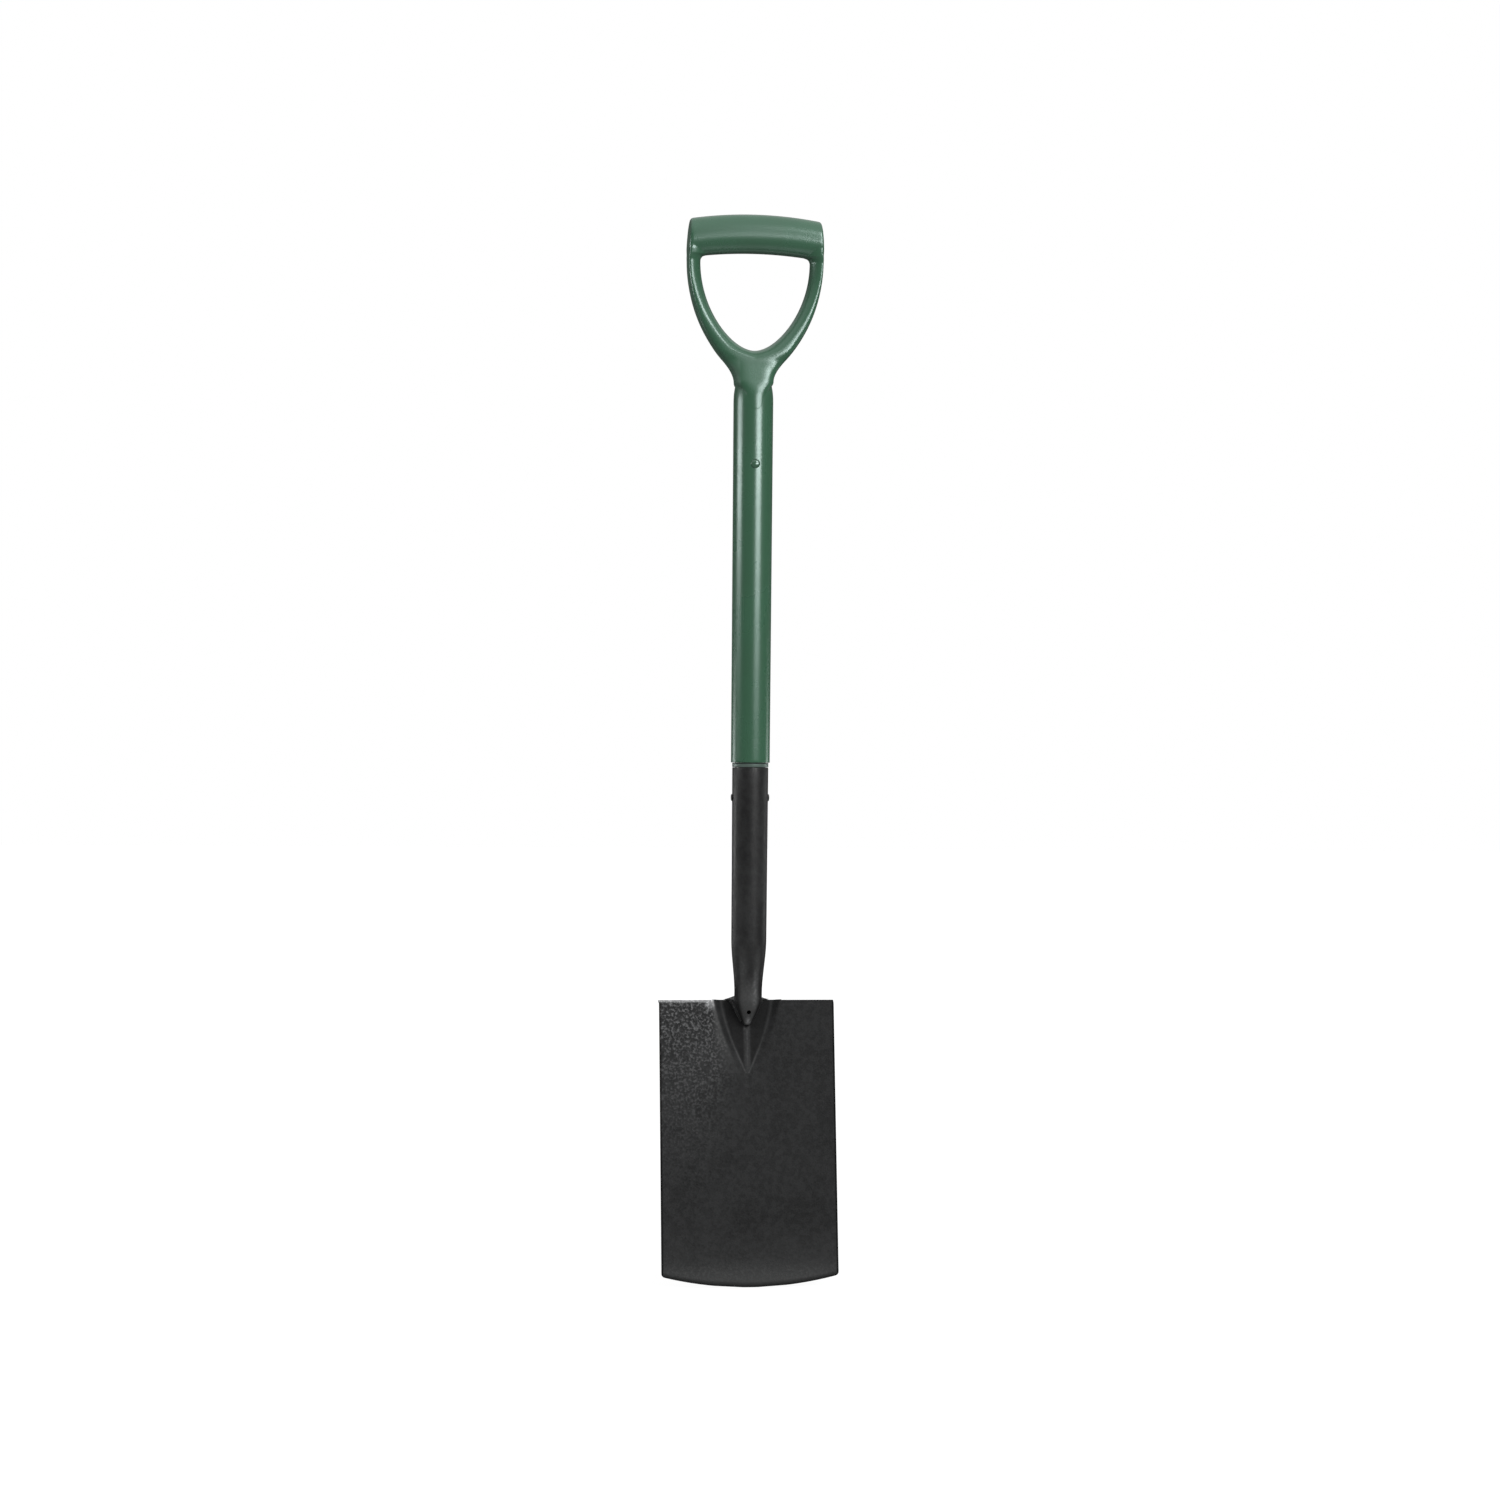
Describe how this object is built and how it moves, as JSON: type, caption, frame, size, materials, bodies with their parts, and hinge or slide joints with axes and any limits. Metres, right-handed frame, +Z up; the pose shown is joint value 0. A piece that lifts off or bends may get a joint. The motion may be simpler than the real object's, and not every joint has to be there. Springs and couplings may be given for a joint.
{
  "type": "digging spade",
  "caption": "Digging spade with a pressed steel blade with foot treads, a tubular socket, a sleeved tube shaft and a moulded D grip.",
  "frame": {"origin": "middle of the spade's footprint in X and Y, at the lowest point of the cutting edge", "axes": "+Z up along the shaft from the blade to the grip, +X across the blade and along the grip's bar, front face of the blade towards -Y, treads folded towards +Y"},
  "size_m": [0.174, 0.059, 1.05],
  "materials": {
    "black_coat": "satin black powder coat, lightly textured, on carbon steel",
    "bare_steel": "bare steel tube",
    "green_plastic": "semi-gloss moulded plastic",
    "collar_plastic": "satin plastic",
    "green_enamel": "enamelled steel rivet"
  },
  "bodies": {
    "root": {"blade": "black_coat", "socket": "black_coat", "weld_left": "black_coat", "weld_right": "black_coat", "shaft_tube": "bare_steel", "shaft_collar": "collar_plastic", "shaft_sleeve": "green_plastic", "d_handle": "green_plastic", "socket_rivet": "black_coat", "handle_rivet": "green_enamel"}
  },
  "joints": []
}
